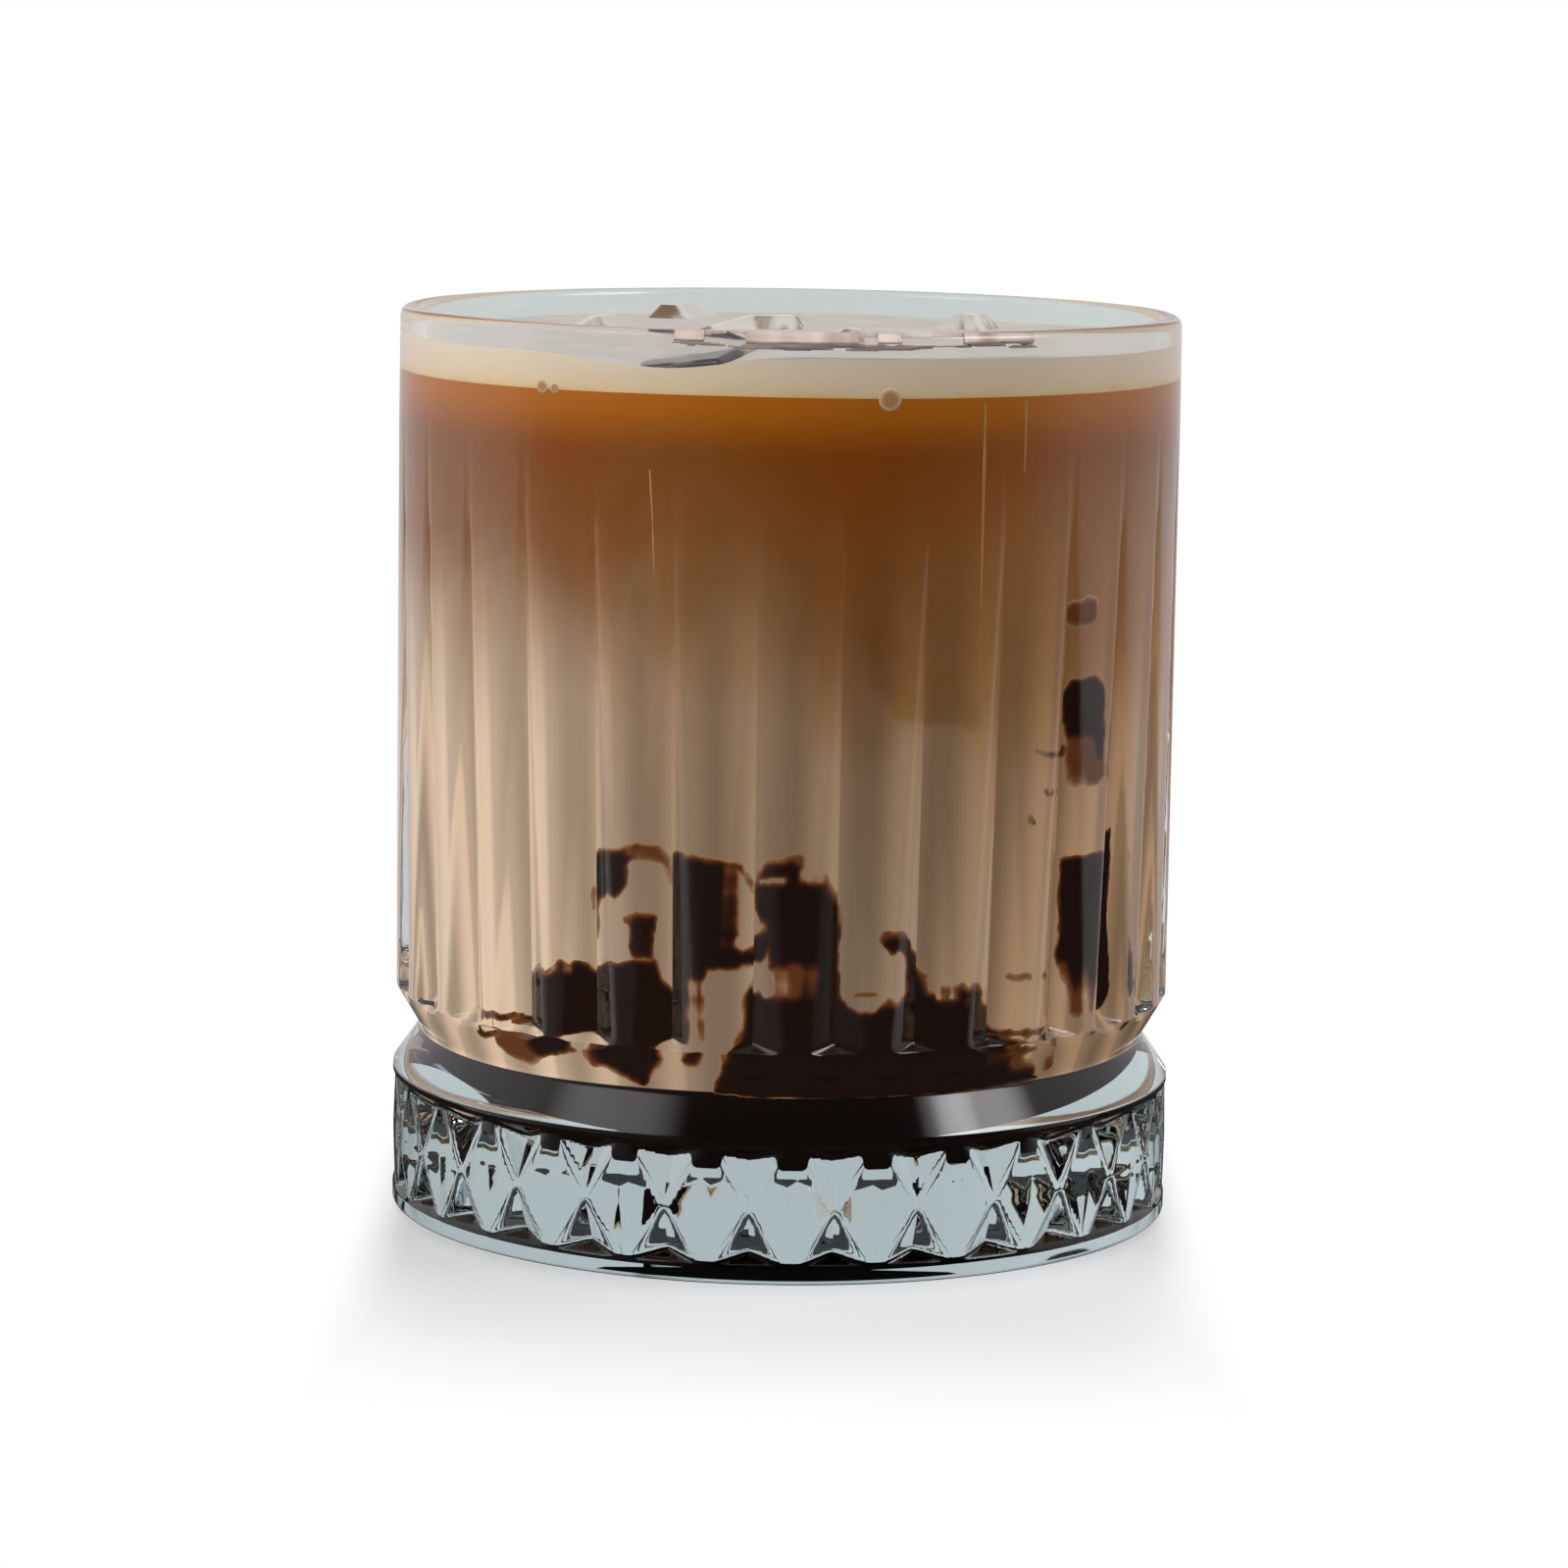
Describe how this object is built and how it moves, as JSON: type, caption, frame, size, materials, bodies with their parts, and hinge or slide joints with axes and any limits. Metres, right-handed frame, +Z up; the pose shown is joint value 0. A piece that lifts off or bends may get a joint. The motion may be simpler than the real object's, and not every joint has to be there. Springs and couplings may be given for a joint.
{
  "type": "glass of iced mocha",
  "caption": "Pressed glass tumbler with fluted sides and a starred foot, filled with chocolate syrup, milk, coffee and foam, with ice cubes breaking the surface",
  "frame": {"origin": "centre of the foot's standing ring, on the table", "axes": "+Z up along the glass's axis; -Y towards the front, where the syrup smears on the wall show"},
  "size_m": [0.0836, 0.0836, 0.0962],
  "materials": {
    "glass": "clear pressed glass, polished",
    "syrup": "wet, glossy chocolate syrup",
    "milk": "milk clouded with coffee, liquid",
    "coffee": "milky coffee, liquid",
    "foam": "fine cream foam, matt",
    "ice": "clear wet ice"
  },
  "bodies": {
    "root": {"tumbler": "glass", "chocolate_syrup": "syrup", "milk": "milk", "coffee": "coffee", "milk_foam": "foam", "ice_cube_1": "ice", "ice_cube_2": "ice", "ice_cube_3": "ice", "ice_cube_4": "ice", "ice_cube_5": "ice", "ice_cube_6": "ice"}
  },
  "joints": []
}
